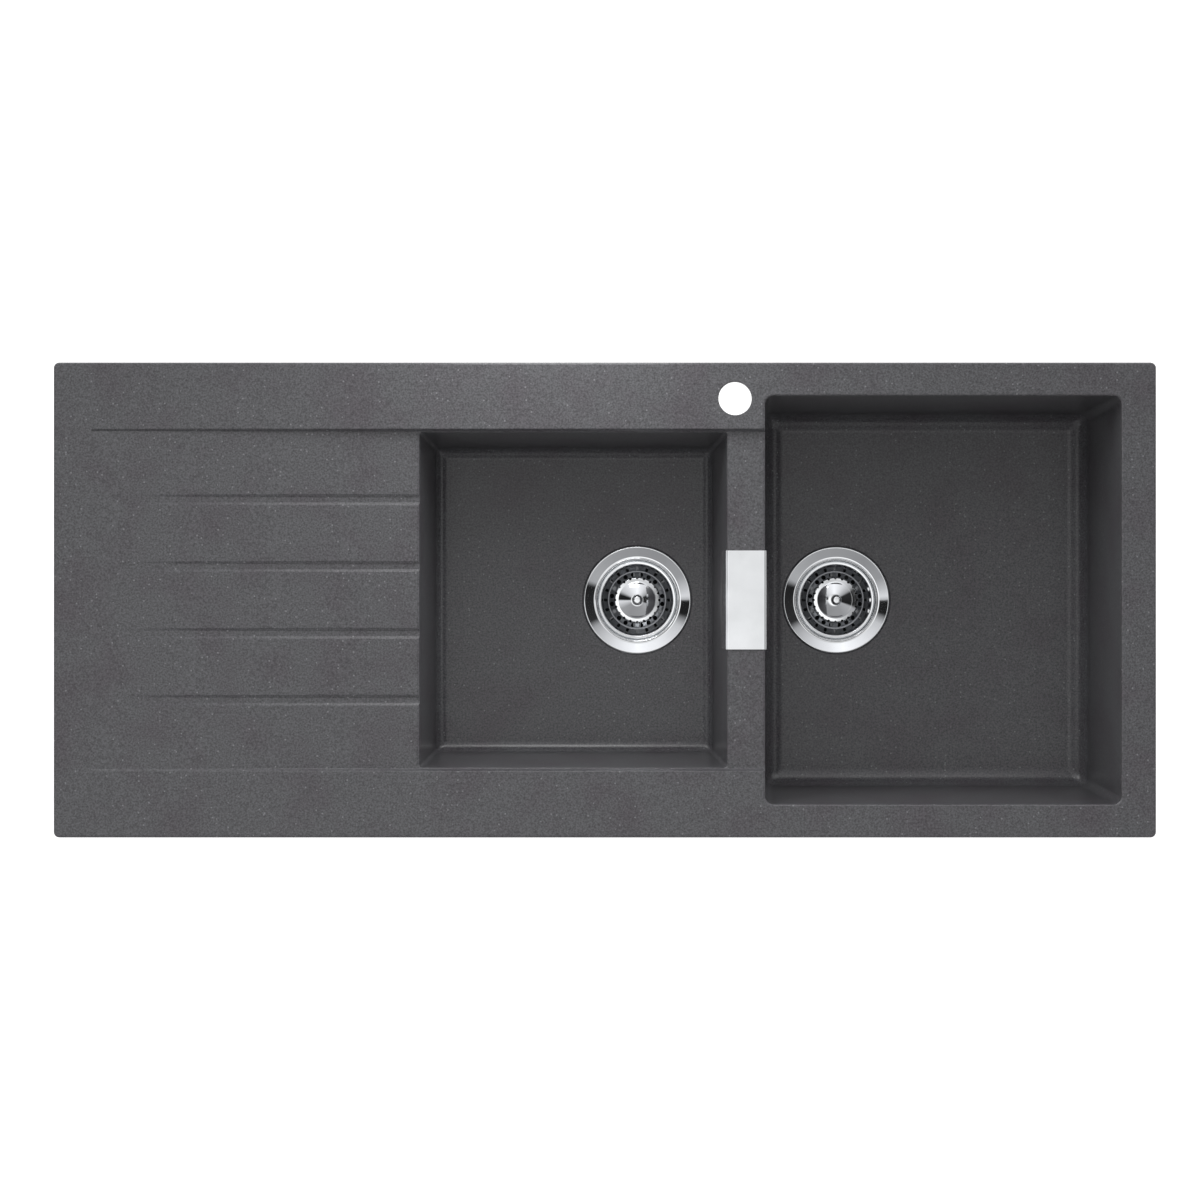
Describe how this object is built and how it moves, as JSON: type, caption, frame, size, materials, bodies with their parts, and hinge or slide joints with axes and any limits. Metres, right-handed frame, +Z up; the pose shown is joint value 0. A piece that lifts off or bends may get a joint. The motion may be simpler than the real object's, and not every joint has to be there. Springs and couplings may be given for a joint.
{
  "type": "kitchen sink with drainboard",
  "caption": "Inset kitchen sink with a grooved drainer, a small and a large bowl, lift-out strainer baskets, a divider overflow and swivelling worktop clips.",
  "frame": {"origin": "centre of the worktop cut-out, on the worktop's top face, which is the underside of the sink's rim", "axes": "+X along the sink towards the large bowl, +Y towards the wall behind the tap hole, +Z up"},
  "size_m": [1.16, 0.5, 0.275],
  "materials": {
    "granite_composite": "matt cast quartz composite with a fine light and dark speckle",
    "polished_steel": "pressed stainless steel, mirror polished",
    "fastener_steel": "plain turned steel",
    "clip_zinc": "zinc plated bent strip",
    "waste_plastic": "moulded black polypropylene",
    "black_rubber": "moulded rubber",
    "sealing_foam": "closed-cell sealing foam"
  },
  "bodies": {
    "sink": {"sink_body": "granite_composite", "rim_seal": "sealing_foam", "main_waste_flange": "polished_steel", "main_flange_seal": "sealing_foam", "main_waste_gasket": "black_rubber", "main_waste_body": "waste_plastic", "main_clamp_screw": "fastener_steel", "small_waste_flange": "polished_steel", "small_flange_seal": "sealing_foam", "small_waste_gasket": "black_rubber", "small_waste_body": "waste_plastic", "small_clamp_screw": "fastener_steel", "overflow_gasket_small": "black_rubber", "overflow_gasket_main": "black_rubber", "overflow_duct": "waste_plastic", "overflow_pipe": "waste_plastic", "overflow_duct_nut": "waste_plastic", "overflow_port_nut": "waste_plastic", "clip_front_1_screw": "fastener_steel", "clip_rear_1_screw": "fastener_steel", "clip_front_2_screw": "fastener_steel", "clip_rear_2_screw": "fastener_steel", "clip_front_3_screw": "fastener_steel", "clip_rear_3_screw": "fastener_steel", "clip_left_end_screw": "fastener_steel", "clip_right_end_screw": "fastener_steel"},
    "main_basket": {"main_basket": "polished_steel", "main_basket_stopper": "black_rubber", "main_basket_knob": "polished_steel", "main_basket_retainer": "fastener_steel"},
    "small_basket": {"small_basket": "polished_steel", "small_basket_stopper": "black_rubber", "small_basket_knob": "polished_steel", "small_basket_retainer": "fastener_steel"},
    "overflow_cover": {"overflow_cover": "polished_steel"},
    "clip_front_1": {"clip_front_1_hook": "clip_zinc"},
    "clip_rear_1": {"clip_rear_1_hook": "clip_zinc"},
    "clip_front_2": {"clip_front_2_hook": "clip_zinc"},
    "clip_rear_2": {"clip_rear_2_hook": "clip_zinc"},
    "clip_front_3": {"clip_front_3_hook": "clip_zinc"},
    "clip_rear_3": {"clip_rear_3_hook": "clip_zinc"},
    "clip_left_end": {"clip_left_end_hook": "clip_zinc"},
    "clip_right_end": {"clip_right_end_hook": "clip_zinc"}
  },
  "joints": [
    {"name": "main_basket_lift", "type": "slide", "parent": "sink", "child": "main_basket", "axis": [0, 0, 1], "range_m": [0, 0.22]},
    {"name": "small_basket_lift", "type": "slide", "parent": "sink", "child": "small_basket", "axis": [0, 0, 1], "range_m": [0, 0.185]},
    {"name": "overflow_cover_lift", "type": "slide", "parent": "sink", "child": "overflow_cover", "axis": [0, 0, 1], "range_m": [0, 0.045]},
    {"name": "clip_front_1_swing", "type": "hinge", "parent": "sink", "child": "clip_front_1", "pos_m": [-0.45, -0.231, -0.036], "axis": [0, 0, -1], "range_deg": [0, 90]},
    {"name": "clip_rear_1_swing", "type": "hinge", "parent": "sink", "child": "clip_rear_1", "pos_m": [-0.45, 0.231, -0.036], "axis": [0, 0, -1], "range_deg": [0, 90]},
    {"name": "clip_front_2_swing", "type": "hinge", "parent": "sink", "child": "clip_front_2", "pos_m": [0, -0.231, -0.036], "axis": [0, 0, -1], "range_deg": [0, 90]},
    {"name": "clip_rear_2_swing", "type": "hinge", "parent": "sink", "child": "clip_rear_2", "pos_m": [0, 0.231, -0.036], "axis": [0, 0, -1], "range_deg": [0, 90]},
    {"name": "clip_front_3_swing", "type": "hinge", "parent": "sink", "child": "clip_front_3", "pos_m": [0.45, -0.231, -0.036], "axis": [0, 0, -1], "range_deg": [0, 90]},
    {"name": "clip_rear_3_swing", "type": "hinge", "parent": "sink", "child": "clip_rear_3", "pos_m": [0.45, 0.231, -0.036], "axis": [0, 0, -1], "range_deg": [0, 90]},
    {"name": "clip_left_end_swing", "type": "hinge", "parent": "sink", "child": "clip_left_end", "pos_m": [-0.561, 0, -0.036], "axis": [0, 0, -1], "range_deg": [0, 90]},
    {"name": "clip_right_end_swing", "type": "hinge", "parent": "sink", "child": "clip_right_end", "pos_m": [0.561, 0, -0.036], "axis": [0, 0, -1], "range_deg": [0, 90]}
  ]
}
